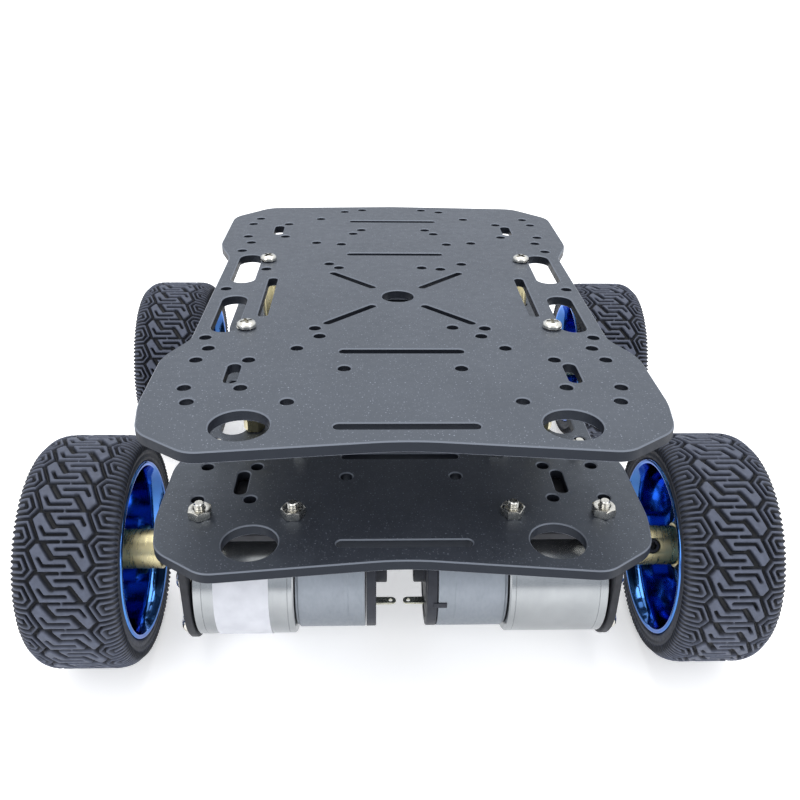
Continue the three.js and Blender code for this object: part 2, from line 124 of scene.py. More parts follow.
class Nodes:
    """A small builder for one node material."""

    def __init__(self, name):
        self.material = bpy.data.materials.new(name)
        self.material.use_nodes = True
        self.tree = self.material.node_tree
        self.shader = self.tree.nodes["Principled BSDF"]

    def add(self, kind, **values):
        node = self.tree.nodes.new(kind)
        for key, value in values.items():
            setattr(node, key, value)
        return node

    def link(self, source, target):
        self.tree.links.new(source, target)

    def set(self, **values):
        for key, value in values.items():
            self.shader.inputs[key.replace("_", " ")].default_value = value
        return self

    def coordinates(self, scale=(1, 1, 1)):
        """Object coordinates, in millimetres, stretched by a scale."""
        source = self.add("ShaderNodeTexCoord")
        mapping = self.add("ShaderNodeMapping")
        mapping.inputs["Scale"].default_value = [s / MM for s in scale]
        self.link(source.outputs["Object"], mapping.inputs["Vector"])
        return mapping.outputs["Vector"]

    def noise(self, per_mm, detail=3.0, stretch=(1, 1, 1)):
        node = self.add("ShaderNodeTexNoise")
        node.inputs["Scale"].default_value = per_mm
        node.inputs["Detail"].default_value = detail
        self.link(self.coordinates(stretch), node.inputs["Vector"])
        return node.outputs["Fac"]

    def ramp(self, value, stops):
        """A colour ramp; a stop is a position and a grey or a colour."""
        node = self.add("ShaderNodeValToRGB")
        elements = node.color_ramp.elements
        while len(elements) < len(stops):
            elements.new(0.5)
        for element, (position, colour) in zip(elements, stops):
            element.position = position
            grey = (colour, colour, colour) if isinstance(colour, float) else colour
            element.color = (*grey, 1.0)
        self.link(value, node.inputs["Fac"])
        return node.outputs["Color"]

    def mix(self, factor, first, second, blend="MIX"):
        node = self.add("ShaderNodeMix", data_type="RGBA", blend_type=blend)
        for socket, value in ((0, factor), (6, first), (7, second)):
            if isinstance(value, bpy.types.NodeSocket):
                self.link(value, node.inputs[socket])
            elif socket:
                node.inputs[socket].default_value = (*value, 1.0)
            else:
                node.inputs[socket].default_value = value
        return node.outputs[2]

    def bump(self, height, strength, distance_mm):
        node = self.add("ShaderNodeBump")
        node.inputs["Strength"].default_value = strength
        node.inputs["Distance"].default_value = distance_mm * MM
        self.link(height, node.inputs["Height"])
        self.link(node.outputs["Normal"], self.shader.inputs["Normal"])

    def colour(self, value):
        self.link(value, self.shader.inputs["Base Color"])

    def roughness(self, value):
        self.link(value, self.shader.inputs["Roughness"])

    def tilt(self):
        """0 on faces that look straight up or down, 1 on upright ones."""
        source = self.add("ShaderNodeTexCoord")
        parts = self.add("ShaderNodeSeparateXYZ")
        self.link(source.outputs["Normal"], parts.inputs[0])
        size = self.add("ShaderNodeMath", operation="ABSOLUTE")
        self.link(parts.outputs["Z"], size.inputs[0])
        turn = self.add("ShaderNodeMath", operation="SUBTRACT")
        turn.inputs[0].default_value = 1.0
        self.link(size.outputs[0], turn.inputs[1])
        return turn.outputs[0]


def plate_material():
    """Blasted aluminium, anodised black: bright specks painted as sparkle glints and dust, a painted
    highlight on the chamfers and painted shade on the upright cut edges.
    """
    n = Nodes("black_anodised_plate").set(Specular_Tint=(0.78, 0.88, 1.0, 1.0))
    cloud = n.ramp(n.noise(0.05, 4), [(0.3, (0.021, 0.024, 0.033)), (0.7, (0.030, 0.034, 0.045))])
    # bright specks: painted sparkle glints, mixed with dust specks
    specks = n.ramp(n.noise(2.0, 1.5), [(0.65, 0.0), (0.72, 1.0)])
    speckled = n.mix(specks, cloud, (0.20, 0.22, 0.27))
    # painted highlight: faces tilted like the chamfers get a paler colour
    edge = n.ramp(n.tilt(), [(0.10, 0.0), (0.2, 1.0), (0.6, 1.0), (0.75, 0.0)])
    # painted shade: upright faces, the deck's cut edges, get a darker colour
    wall = n.ramp(n.tilt(), [(0.6, 0.0), (0.8, 1.0)])
    chamfered = n.mix(edge, speckled, (0.105, 0.115, 0.14))
    n.colour(n.mix(wall, chamfered, (0.013, 0.015, 0.021)))
    n.link(n.ramp(n.tilt(), [(0.6, 1.0), (0.8, 0.22)]), n.shader.inputs["Specular IOR Level"])
    n.roughness(n.ramp(n.noise(0.4, 3), [(0.3, 0.40), (0.7, 0.52)]))
    n.bump(n.noise(2.6, 2), 0.35, 0.06)
    return n.material


def brass_material():
    """Machined brass, its gloss varying in faint bands."""
    n = Nodes("machined_brass").set(Metallic=1.0)
    tone = n.noise(0.25, 4)
    n.colour(n.ramp(tone, [(0.25, (0.56, 0.49, 0.27)), (0.75, (0.66, 0.59, 0.36))]))
    lines = n.noise(1.0, 2, (1.2, 0.15, 0.15))
    n.roughness(n.ramp(lines, [(0.3, 0.24), (0.7, 0.34)]))
    n.bump(n.noise(0.5, 2), 0.05, 0.02)
    return n.material


def nickel_material(name="nickel_screws", tint=(0.74, 0.72, 0.66)):
    """Plated or bare bright steel, a little dull in patches."""
    n = Nodes(name).set(Metallic=1.0)
    dull = tuple(0.72 * c for c in tint)
    n.colour(n.ramp(n.noise(0.8, 4), [(0.3, dull), (0.6, tint)]))
    n.roughness(n.ramp(n.noise(1.4, 3), [(0.3, 0.16), (0.75, 0.32)]))
    n.bump(n.noise(3.0, 2), 0.08, 0.03)
    return n.material


def blue_chrome_material():
    """Electroplated blue over bright metal, drifting between navy and cyan blue."""
    n = Nodes("blue_chromed_rim").set(Metallic=1.0, Coat_Weight=0.5, Coat_Roughness=0.03)
    n.set(Specular_Tint=(0.62, 0.68, 1.0, 1.0))
    n.colour(n.ramp(n.noise(0.10, 3), [(0.3, (0.045, 0.150, 0.46)), (0.7, (0.060, 0.230, 0.60))]))
    n.roughness(n.ramp(n.noise(0.5, 3), [(0.3, 0.05), (0.8, 0.13)]))
    n.bump(n.noise(0.25, 2), 0.10, 0.05)
    return n.material


def rubber_material():
    """Moulded rubber: painted shade darkens the grooves of the tread and a painted sheen lightens its
    ribs; dust in patches all over.
    """
    n = Nodes("tyre_rubber").set(Specular_IOR_Level=0.32)
    land = n.add("ShaderNodeAttribute", attribute_name="tread_land")
    # painted shade in the grooves and a painted sheen on the ribs, driven by tread_land
    groove_shade_and_rib_sheen = n.ramp(land.outputs["Fac"], [
        (0.0, (0.004, 0.005, 0.008)), (0.55, (0.028, 0.032, 0.047)), (1.0, (0.080, 0.092, 0.132))])
    dust = n.ramp(n.noise(0.6, 5), [(0.3, 0.72), (0.7, 1.0)])
    n.colour(n.mix(1.0, groove_shade_and_rib_sheen, dust, "MULTIPLY"))
    n.roughness(n.ramp(n.noise(0.9, 3), [(0.3, 0.50), (0.7, 0.66)]))
    n.bump(n.noise(3.2, 3), 0.25, 0.06)
    return n.material


def gearbox_material():
    """Satin nickel with turning lines round the cylinder."""
    n = Nodes("satin_nickel_gearbox").set(Metallic=1.0)
    n.colour(n.ramp(n.noise(0.12, 4), [(0.3, (0.31, 0.325, 0.335)), (0.7, (0.37, 0.385, 0.395))]))
    lines = n.noise(1.0, 3, (3.0, 0.12, 0.12))
    n.roughness(n.ramp(lines, [(0.3, 0.20), (0.7, 0.27)]))
    n.bump(lines, 0.02, 0.02)
    return n.material


def motor_can_material():
    """Dull zinc plating."""
    n = Nodes("zinc_motor_can").set(Metallic=0.9)
    n.colour(n.ramp(n.noise(0.2, 5), [(0.25, (0.245, 0.27, 0.30)), (0.75, (0.27, 0.295, 0.33))]))
    grain = n.noise(1.2, 4, (1.0, 0.5, 0.5))
    n.roughness(n.ramp(grain, [(0.3, 0.40), (0.7, 0.56)]))
    n.bump(grain, 0.15, 0.03)
    return n.material


def black_material(name, base, rough, grain_per_mm, strength):
    """Dull black, with a grain."""
    n = Nodes(name).set(Specular_IOR_Level=0.28)
    lighter = tuple(1.6 * c for c in base)
    n.colour(n.ramp(n.noise(0.3, 4), [(0.3, base), (0.7, lighter)]))
    n.roughness(n.ramp(n.noise(0.7, 3), [(0.3, rough - 0.06), (0.7, rough + 0.08)]))
    n.bump(n.noise(grain_per_mm, 2), strength, 0.06)
    return n.material


def foam_material():
    """Open cell foam, with painted shade darkening its pores."""
    n = Nodes("sponge_foam")
    cells = n.add("ShaderNodeTexVoronoi")
    cells.inputs["Scale"].default_value = 1.6
    n.link(n.coordinates(), cells.inputs["Vector"])
    # painted shade: darker towards the middle of each cell, where the pores are
    n.colour(n.ramp(cells.outputs["Distance"], [(0.1, 0.02), (0.6, 0.16)]))
    n.set(Roughness=0.95)
    n.bump(cells.outputs["Distance"], 0.6, 0.3)
    return n.material


def label_material():
    """A blank white paper label."""
    n = Nodes("blank_label")
    n.colour(n.ramp(n.noise(0.25, 4), [(0.3, (0.50, 0.51, 0.55)), (0.7, (0.58, 0.59, 0.63))]))
    n.roughness(n.ramp(n.noise(1.0, 2), [(0.3, 0.38), (0.7, 0.5)]))
    n.bump(n.noise(1.5, 3), 0.08, 0.03)
    return n.material


def floor_material():
    """A pale floor that glows a little, so that the shadows on it stay light."""
    n = Nodes("pale_floor")
    n.colour(n.ramp(n.noise(0.01, 2), [(0.3, (0.86, 0.86, 0.87)), (0.7, (0.88, 0.88, 0.89))]))
    n.set(Roughness=0.85, Emission_Color=(1.0, 1.0, 1.0, 1.0), Emission_Strength=0.45)
    return n.material


PLATE = plate_material()
BRASS = brass_material()
NICKEL = nickel_material()
STEEL = nickel_material("bright_steel_shaft", (0.66, 0.67, 0.68))
TERMINAL = nickel_material("tinned_terminal", (0.60, 0.60, 0.50))
BLUE = blue_chrome_material()
RUBBER = rubber_material()
GEARBOX = gearbox_material()
CAN = motor_can_material()
PLASTIC = black_material("black_plastic", (0.018, 0.020, 0.027), 0.45, 1.8, 0.12)
POWDER = black_material("black_powder_coat", (0.016, 0.017, 0.021), 0.50, 2.4, 0.30)
FOAM = foam_material()
LABEL = label_material()

# ------------------------------------------------------------------ mesh helpers, in millimetres


def cleaned(mesh, distance):
    """The mesh with its shared points joined and its faces turned outwards."""
    tidy = bmesh.new()
    tidy.from_mesh(mesh)
    bmesh.ops.remove_doubles(tidy, verts=tidy.verts, dist=distance)
    bmesh.ops.recalc_face_normals(tidy, faces=tidy.faces)
    tidy.to_mesh(mesh)
    tidy.free()
    return mesh


def mesh_from(name, verts, faces):
    mesh = bpy.data.meshes.new(name)
    mesh.from_pydata([tuple(map(float, v)) for v in verts], [], faces)
    return cleaned(mesh, 1e-4)


def turned(name, profile, segments=64, closed=False):
    """A solid turned about the X axis from [x, radius] pairs."""
    verts = []
    rings = []
    for x, radius in profile:
        if radius == 0:
            rings.append([len(verts)] * segments)
            verts.append((x, 0, 0))
            continue
        rings.append(list(range(len(verts), len(verts) + segments)))
        for i in range(segments):
            angle = 2 * math.pi * i / segments
            verts.append((x, radius * math.cos(angle), radius * math.sin(angle)))
    pairs = list(zip(rings, rings[1:]))
    if closed:
        pairs.append((rings[-1], rings[0]))
    faces = []
    for low, high in pairs:
        for i in range(segments):
            j = (i + 1) % segments
            corners = [low[i], low[j], high[j], high[i]]
            face = list(dict.fromkeys(corners))
            if len(face) > 2:
                faces.append(face)
    return mesh_from(name, verts, faces)


def prism(name, outline, start, end):
    """An outline in the XY plane, raised along Z from start to end."""
    count = len(outline)
    verts = [(x, y, z) for z in (start, end) for x, y in outline]
    faces = [list(range(count))[::-1], list(range(count, 2 * count))]
    faces += [[i, (i + 1) % count, count + (i + 1) % count, count + i] for i in range(count)]
    return mesh_from(name, verts, faces)


def arc(x, y, radius, start, end, steps):
    """Points along an arc; the angles are in radians."""
    angles = [start + (end - start) * i / steps for i in range(steps + 1)]
    return [(x + radius * math.cos(a), y + radius * math.sin(a)) for a in angles]


def circle(x, y, radius, segments=28):
    return arc(x, y, radius, 0, 2 * math.pi * (1 - 1 / segments), segments - 1)


def slot(x0, y0, x1, y1, width, steps=10):
    """A slot with round ends, from one end's middle to the other's."""
    heading = math.atan2(y1 - y0, x1 - x0)
    quarter = math.pi / 2
    return (arc(x1, y1, width / 2, heading - quarter, heading + quarter, steps)
            + arc(x0, y0, width / 2, heading + quarter, heading + 3 * quarter, steps))


def hexagon(across_flats, x=0, y=0):
    return circle(x, y, across_flats / math.sqrt(3), 6)


def rounded(corners, steps=8):
    """A closed outline; a corner is x, y and how far its curve reaches."""
    points = []
    for i, (x, y, reach) in enumerate(corners):
        corner = Vector((x, y))
        if not reach:
            points.append((x, y))
            continue
        before = Vector(corners[i - 1][:2]) - corner
        after = Vector(corners[(i + 1) % len(corners)][:2]) - corner
        start = corner + before.normalized() * reach
        end = corner + after.normalized() * reach
        for k in range(steps + 1):
            t = k / steps
            p = start * (1 - t) ** 2 + corner * 2 * t * (1 - t) + end * t ** 2
            points.append((p.x, p.y))
    return points


def evaluated(thing):
    """The mesh that an object's curve or modifiers make; the object is removed."""
    bpy.context.scene.collection.objects.link(thing)
    graph = bpy.context.evaluated_depsgraph_get()
    mesh = bpy.data.meshes.new_from_object(thing.evaluated_get(graph))
    bpy.data.objects.remove(thing)
    return mesh


def sheet(name, outline, holes, thickness, chamfer):
    """A flat sheet from z = 0, with chamfered edges at its outline and its holes."""
    curve = bpy.data.curves.new(name, "CURVE")
    curve.dimensions = "2D"
    curve.fill_mode = "BOTH"
    for points in [outline, *holes]:
        spline = curve.splines.new("POLY")
        spline.points.add(len(points) - 1)
        for point, (x, y) in zip(spline.points, points):
            point.co = (x, y, 0, 1)
        spline.use_cyclic_u = True
    curve.extrude = thickness / 2 - chamfer
    curve.bevel_depth = chamfer
    curve.bevel_resolution = 0
    curve.offset = -chamfer
    mesh = evaluated(bpy.data.objects.new(name, curve))
    mesh.transform(Matrix.Translation((0, 0, thickness / 2)))
    return cleaned(mesh, 1e-3)


def merged(name, meshes):
    """Several closed meshes in one."""
    together = bmesh.new()
    for mesh in meshes:
        together.from_mesh(mesh)
    mesh = bpy.data.meshes.new(name)
    together.to_mesh(mesh)
    together.free()
    return mesh


def worked(mesh, cut=None, join=None, keep=None, bevel=0.0, bevel_steps=2):
    """The mesh after a join, a cut, keeping only what is in a third, and a bevel."""
    thing = bpy.data.objects.new(mesh.name, mesh)
    helpers = []
    for other, operation in ((join, "UNION"), (cut, "DIFFERENCE"), (keep, "INTERSECT")):
        if other is None:
            continue
        helper = bpy.data.objects.new("helper", other)
        bpy.context.scene.collection.objects.link(helper)
        helpers.append(helper)
        modifier = thing.modifiers.new(operation, "BOOLEAN")
        modifier.operation = operation
        modifier.solver = "EXACT"
        modifier.object = helper
    if bevel:
        modifier = thing.modifiers.new("bevel", "BEVEL")
        modifier.width = bevel
        modifier.segments = bevel_steps
        modifier.limit_method = "ANGLE"
        modifier.angle_limit = math.radians(32)
        modifier.use_clamp_overlap = True
    result = evaluated(thing)
    for helper in helpers:
        bpy.data.objects.remove(helper)
    if not result.polygons:
        raise RuntimeError(f"nothing is left of {mesh.name}")
    return result


AXIS_TO_X = Matrix(((0, 0, 1, 0), (1, 0, 0, 0), (0, 1, 0, 0), (0, 0, 0, 1)))  # x, y, z to y, z, x
AXIS_TO_Z = AXIS_TO_X.inverted()


def along_x(mesh, x=0.0):
    """A mesh drawn in the XY plane and raised along Z, turned to face along X."""
    mesh.transform(Matrix.Translation((x, 0, 0)) @ AXIS_TO_X)
    return mesh


def along_z(mesh):
    """A mesh turned about X, set to stand along Z."""
    mesh.transform(AXIS_TO_Z)
    return mesh


def finished(mesh, material, smooth_angle=35):
    """A mesh in metres, with its material, smooth except across its sharp edges."""
    mesh.transform(Matrix.Scale(MM, 4))
    mesh.materials.clear()
    mesh.materials.append(material)
    mesh.shade_smooth()
    mesh.set_sharp_from_angle(angle=math.radians(smooth_angle))
    return mesh


def place(name, mesh, matrix, body, node=None):
    """A piece on its body, with the CAD node that it stands for."""
    piece = bpy.data.objects.new(name, mesh)
    bpy.context.scene.collection.objects.link(piece)
    piece.matrix_world = matrix
    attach(piece, body)
    if node:
        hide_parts(node)


def at(x, y, z):
    """A place in the frame, from millimetres."""
    return Matrix.Translation((x * MM, y * MM, z * MM))


# ------------------------------------------------------------------ decks

DECK_RIGHT_CORNERS = [
    (47.7, -95.7, 3), (60.5, -86.5, 4), (62.7, -74, 3), (62.7, -48.5, 4), (57.2, -37.3, 3),
    (56.9, 31.3, 3), (62, 44.5, 4), (62, 79.5, 4), (49.3, 92.9, 4),
]
PAIRED_HOLES = [
    (53.5, 1.3), (53.5, -35.8), (53.5, 38.5), (24, -29.4), (22.4, -34.8), (22.4, 24.9),
    (15, -55), (15, 58.7), (12, 63.4), (19, 46.2), (19, 88), (12, 90.5),
]
SINGLE_HOLES = [(-19, 21.1), (-43, 19.6), (14.9, -28.8), (8.7, 21.2), (14.9, 19.9)]
DECK_NOSE = (0, -90.6, 8)
DECK_TAIL = (0, 95.4, 0)
CENTRE_HOLE_RADIUS = 4.9
STRAP_SLOT_REACH, STRAP_SLOT_WIDTH = 15.3, 2.8
STRAP_SLOT_OFFSETS = (-79.4, -39.8, 39.9, 79.4)
CABLE_HOLE_X, CABLE_HOLE_Y, CABLE_HOLE_RADIUS = 37.7, -83.8, 6.9
WINDOW_X, WINDOW_REACH, WINDOW_WIDTH = 49.4, 10, 7.6
WINDOW_MIDDLES = (-18.6, 20.1)
LONG_SLOT_X, LONG_SLOT_REACH, LONG_SLOT_WIDTH = 39.7, 14.6, 3.0
CROSS_SLOT_START, CROSS_SLOT_END, CROSS_SLOT_WIDTH = 11.2, 29.2, 2.4
AXLE_SLOT_X, AXLE_SLOT_REACH, AXLE_SLOT_WIDTH = 43, 3.8, 3.5
AXLE_HOLES = ((39.9, 7.8), (53.5, 7.8))


def axle_y(end):
    return AXLE_MIDDLE_Y + end * WHEELBASE / 2


def deck_outline():
    left = [(-x, y, reach) for x, y, reach in reversed(DECK_RIGHT_CORNERS)]
    return rounded([DECK_NOSE, *DECK_RIGHT_CORNERS, DECK_TAIL, *left])


def deck_holes():
    """Every hole and slot of a deck. Both decks are cut alike."""
    holes = [circle(0, SLOT_PATTERN_Y, CENTRE_HOLE_RADIUS, 40)]
    holes += [circle(x, y, M3_HOLE_RADIUS) for x, y in SINGLE_HOLES]
    for offset in STRAP_SLOT_OFFSETS:
        y = SLOT_PATTERN_Y + offset
        holes.append(slot(-STRAP_SLOT_REACH, y, STRAP_SLOT_REACH, y, STRAP_SLOT_WIDTH))
    for side in (-1, 1):
        holes += deck_side_holes(side)
    return holes


def deck_side_holes(side):
    holes = [circle(side * x, y, M3_HOLE_RADIUS) for x, y in PAIRED_HOLES]
    holes += [circle(side * STANDOFF_X, y, M3_HOLE_RADIUS) for y in STANDOFF_YS]
    holes.append(circle(side * CABLE_HOLE_X, CABLE_HOLE_Y, CABLE_HOLE_RADIUS, 56))
    x = side * WINDOW_X
    for y in WINDOW_MIDDLES:
        holes.append(slot(x, y - WINDOW_REACH, x, y + WINDOW_REACH, WINDOW_WIDTH, 16))
    x = side * LONG_SLOT_X
    holes.append(slot(x, SLOT_PATTERN_Y - LONG_SLOT_REACH, x, SLOT_PATTERN_Y + LONG_SLOT_REACH,
                      LONG_SLOT_WIDTH))
    for end in (-1, 1):
        inner = CROSS_SLOT_START * math.sqrt(0.5)
        outer = CROSS_SLOT_END * math.sqrt(0.5)
        holes.append(slot(side * inner, SLOT_PATTERN_Y + end * inner,
                          side * outer, SLOT_PATTERN_Y + end * outer, CROSS_SLOT_WIDTH))
        y = axle_y(end)
        x = side * AXLE_SLOT_X
        holes.append(slot(x, y - AXLE_SLOT_REACH, x, y + AXLE_SLOT_REACH, AXLE_SLOT_WIDTH))
        for step in (-1, 1):
            holes += [circle(side * hole_x, y + step * offset, M3_HOLE_RADIUS)
                      for hole_x, offset in AXLE_HOLES]
            holes += [circle(side * bolt_x, y + step * BRACKET_BOLT_Y, M3_HOLE_RADIUS)
                      for bolt_x in BRACKET_BOLT_XS]
    return holes


def build_decks():
    mesh = sheet("deck", deck_outline(), deck_holes(), PLATE_THICKNESS, PLATE_CHAMFER)
    finished(mesh, PLATE, 25)
    for node in ("bottom_plate", "top_plate"):
        low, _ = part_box(node)
        place(f"{node}_fine", mesh, Matrix.Translation((0, 0, low.z)), "chassis", node)


# ------------------------------------------------------------------ screws, nuts and standoffs


def cross_recess(radius, top, depth):
    """A cutter for a cross recess, standing along Z."""
    bars = []
    for turn in (0, math.pi / 2):
        half_length, half_width = radius, radius * 0.26
        outline = [(-half_length, -half_width), (half_length, -half_width),
                   (half_length, half_width), (-half_length, half_width)]
        bar = prism("bar", outline, top - depth, top + 1)
        bar.transform(Matrix.Rotation(turn, 4, "Z"))
        bars.append(bar)
    return worked(bars[0], join=bars[1])


def thread(radius, start, end, pitch=0.5):
    """The profile of a stretch of screw thread, as [x, radius] pairs."""
    profile = []
    turns = max(1, round((end - start) / pitch))
    step = (end - start) / turns
    for i in range(turns):
        x = start + i * step
        profile += [(x, radius - 0.22), (x + step * 0.35, radius), (x + step * 0.6, radius)]
    profile.append((end, radius - 0.22))
    return profile


def pan_screw(name, reach, head_radius=2.75, head_height=2.1, radius=1.35):
    """A pan head screw along Z, its seat at z = 0 and its head above it."""
    dome = [(0.3, head_radius - 0.12), (0.42, head_radius), (head_height * 0.45, head_radius)]
    for i in range(1, 7):
        angle = i * math.pi / 12
        dome.append((head_height * (0.45 + 0.55 * math.sin(angle)),
                     head_radius * (0.42 + 0.58 * math.cos(angle))))
    profile = [(-reach, 0), (-reach, radius - 0.35), *thread(radius, -reach + 0.3, -0.4),
               (0.3, radius), *dome, (head_height, 0)]
    body = along_z(turned(name, profile, 40))
    recess = cross_recess(head_radius * 0.62, head_height, head_height * 0.6)
    return finished(worked(body, cut=recess), NICKEL, 30)


def hex_nut():
    """A chamfered M3 nut, from z = 0."""
    height, across = 2.4, 5.5
    block = prism("nut", hexagon(across), 0, height)
    corner = across / math.sqrt(3)
    round_cut = along_z(turned("nut_round", [
        (0, 0), (0, corner - 0.45), (0.35, corner + 0.05), (height - 0.35, corner + 0.05),
        (height, corner - 0.45), (height, 0)], 48))
    shaped = worked(block, keep=round_cut)
    bore = along_z(turned("bore", [(-1, 0), (-1, 1.62), (height + 1, 1.62), (height + 1, 0)], 32))
    return finished(worked(shaped, cut=bore, bevel=0.08), NICKEL, 30)


def standoff_mesh():
    """A hex brass standoff with chamfered ends, a gap above z = 0."""
    length, across = STANDOFF_LENGTH - 2 * GAP, 5.5
    block = prism("standoff", hexagon(across), 0, length)
    bore = along_z(turned("bore", [(-1, 0), (-1, 1.6), (length + 1, 1.6), (length + 1, 0)], 32))
    mesh = worked(block, cut=bore, bevel=0.25)
    mesh.transform(Matrix.Translation((0, 0, GAP)))
    return finished(mesh, BRASS, 30)


def build_deck_hardware():
    screw = pan_screw("deck_screw", 8.0)
    standoff = standoff_mesh()
    lower_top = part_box("bottom_plate")[1].z / MM
    lower_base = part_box("bottom_plate")[0].z / MM
    upper_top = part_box("top_plate")[1].z / MM
    flip = Matrix.Rotation(math.pi, 4, "X")
    for number, (corner, side, end) in enumerate(CORNERS):
        x, y = side * STANDOFF_X, STANDOFF_YS[(end + 1) // 2]
        turn = Matrix.Rotation(0.4 + 1.1 * number, 4, "Z")
        place(f"standoff_{corner}_fine", standoff, at(x, y, lower_top), "chassis",
              f"standoff_{corner}")
        place(f"top_screw_{corner}_fine", screw, at(x, y, upper_top) @ turn, "chassis",
              f"top_screw_{corner}")
        place(f"bottom_screw_{corner}_fine", screw, at(x, y, lower_base) @ flip @ turn,
              "chassis", f"bottom_screw_{corner}")


def build_bracket_hardware():
    """Bolts up through each bracket's flange and the lower deck, with a nut on top."""
    flange_base = -BRACKET_THICKNESS - GAP
    lower_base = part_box("bottom_plate")[0].z / MM
    lower_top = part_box("bottom_plate")[1].z / MM
    reach = lower_top + 4.1 - (lower_base + flange_base)
    bolt = pan_screw("bracket_bolt", reach)
    nut = hex_nut()
    flip = Matrix.Rotation(math.pi, 4, "X")
    count = 0
    for _, side, end in CORNERS:
        for x in BRACKET_BOLT_XS:
            for step in (-1, 1):
                count += 1
                px, py = side * x, axle_y(end) + step * BRACKET_BOLT_Y
                turn = Matrix.Rotation(0.35 + 0.77 * count, 4, "Z")
                place(f"bracket_bolt_{count:02d}", bolt,
                      at(px, py, lower_base + flange_base) @ flip @ turn, "chassis",
                      None)
                place(f"bracket_nut_{count:02d}", nut, at(px, py, lower_top + 0.02) @ turn,
                      "chassis", None)


# ------------------------------------------------------------------ gearmotor, outwards along +X


KEY_PLACE = Matrix.Translation((0, -MOTOR_RADIUS, 0)) @ Matrix.Rotation(math.pi / 2, 4, "X")


def gearbox_screw_places():
    """The (y, z) places of the screws in the gearbox face, about the axle."""
    angles = [math.pi / 6 + 2 * math.pi * i / GEARBOX_SCREWS for i in range(GEARBOX_SCREWS)]
    return [(GEARBOX_SCREW_CIRCLE * math.cos(angle),
             GEARBOX_SCREW_CIRCLE * math.sin(angle) - GEARBOX_DROP) for angle in angles]


def gearbox_mesh():
    """A gearbox: two covers and a tube, with fine seams, and the output boss off its axis."""
    x0, x1, r = GEARBOX_X + GAP, GEARBOX_FACE_X - GAP, GEARBOX_RADIUS
    seams = []
    for seam in (x0 + 1.6, x1 - 2.6):
        seams += [(seam - 0.12, r), (seam - 0.06, r - 0.1), (seam + 0.06, r - 0.1), (seam + 0.12, r)]
    profile = [(x0, 0), (x0, r - 0.4), (x0 + 0.4, r), *seams, (x1 - 0.4, r), (x1, r - 0.4), (x1, 0)]
    body = turned("gearbox", profile, 128)
    body.transform(Matrix.Translation((0, 0, -GEARBOX_DROP)))
    boss_end = GEARBOX_FACE_X + GEARBOX_BOSS_LENGTH
    boss = turned("boss", [(x1 - 2, 0), (x1 - 2, GEARBOX_BOSS_RADIUS),
                           (boss_end - 0.5, GEARBOX_BOSS_RADIUS),
                           (boss_end, GEARBOX_BOSS_RADIUS - 0.5), (boss_end, 0)], 64)
    bore_start, bore_end = SHAFT_START_X - GAP, boss_end + 1
    bore_radius = SHAFT_RADIUS + GAP
    bore = turned("bore", [(bore_start, 0), (bore_start, bore_radius), (bore_end, bore_radius),
                           (bore_end, 0)], 48)
    return finished(worked(body, join=boss, cut=bore), GEARBOX, 30)


def motor_can_mesh():
    """The drawn steel can, with a seam line, a step at the gearbox and a notch for the key."""
    x0, x1, r = MOTOR_CAN_X + GAP, GEARBOX_X, MOTOR_RADIUS
    seam = x0 + 4.6
    shoulder = 0.3
    turn_x = x1 - CAN_STEP - shoulder
    profile = [(x0, 0), (x0, r - 0.15), (x0 + 0.15, r), (seam - 0.1, r), (seam, r - 0.06),
               (seam + 0.1, r), (turn_x, r)]
    profile += [(turn_x + shoulder * math.sin(a), r - shoulder + shoulder * math.cos(a))
                for a in (0.5, 1.0, 1.5)]
    profile += [(x1 - CAN_STEP, r - CAN_STEP), (x1, r - CAN_STEP), (x1, 0)]
    body = turned("motor_can", profile, 128)
    half, notch_end = KEY_WIDTH / 2 + 0.1, x0 + KEY_LENGTH - 0.2
    outline = [(x0 - 1, -half), (notch_end, -half), (notch_end, half), (x0 - 1, half)]
    notch = prism("notch", outline, -1, 2)
    notch.transform(KEY_PLACE)
    mesh = worked(body, cut=notch)
    mesh.transform(Matrix.Translation((0, 0, -GEARBOX_DROP)))
    return finished(mesh, CAN, 30)


def end_cap_mesh():
    """The moulded rear cover, with its bearing boss and the key that sits in the can's notch."""
    r = MOTOR_RADIUS
    profile = [
        (REAR_BOSS_X, 0), (REAR_BOSS_X, 2.4), (REAR_BOSS_X + 0.7, 2.5), (REAR_BOSS_X + 0.7, 3.2),
        (REAR_BOSS_X, 3.4), (REAR_BOSS_X, 4.3), (REAR_BOSS_X + 0.2, 4.5), (END_CAP_X, 4.5),
        (END_CAP_X, 9.6), (END_CAP_X + 0.3, 9.8), (END_CAP_X + 0.3, r - 2.2),
        (END_CAP_X, r - 2.0), (END_CAP_X, r - 0.25), (END_CAP_X + 0.25, r), (MOTOR_CAN_X, r),
        (MOTOR_CAN_X, 0),
    ]
    body = turned("end_cap", profile, 96)
    start, end, half = MOTOR_CAN_X - 1, MOTOR_CAN_X + KEY_LENGTH, KEY_WIDTH / 2
    outline = [(start, -half), (end, -half), (end, half), (start, half)]
    key = prism("key", outline, -0.6, 0.25)
    key.transform(KEY_PLACE)
    mesh = merged("end_cap", [body, worked(key, bevel=0.12)])
    mesh.transform(Matrix.Translation((0, 0, -GEARBOX_DROP)))
    return finished(mesh, PLASTIC, 35)


def terminal_mesh():
    """A flat solder tab with a round end and a hole, its root in the end cap."""
    outline = (arc(TERMINAL_TIP_X + 1.4, 0, 1.4, math.pi / 2, 3 * math.pi / 2, 14)
               + [(END_CAP_X + 1, -1.4), (END_CAP_X + 1, 1.4)])
    hole = circle(TERMINAL_TIP_X + 1.6, 0, 0.6, 16)
    return finished(sheet("terminal", outline, [hole], 0.7, 0.12), TERMINAL, 30)


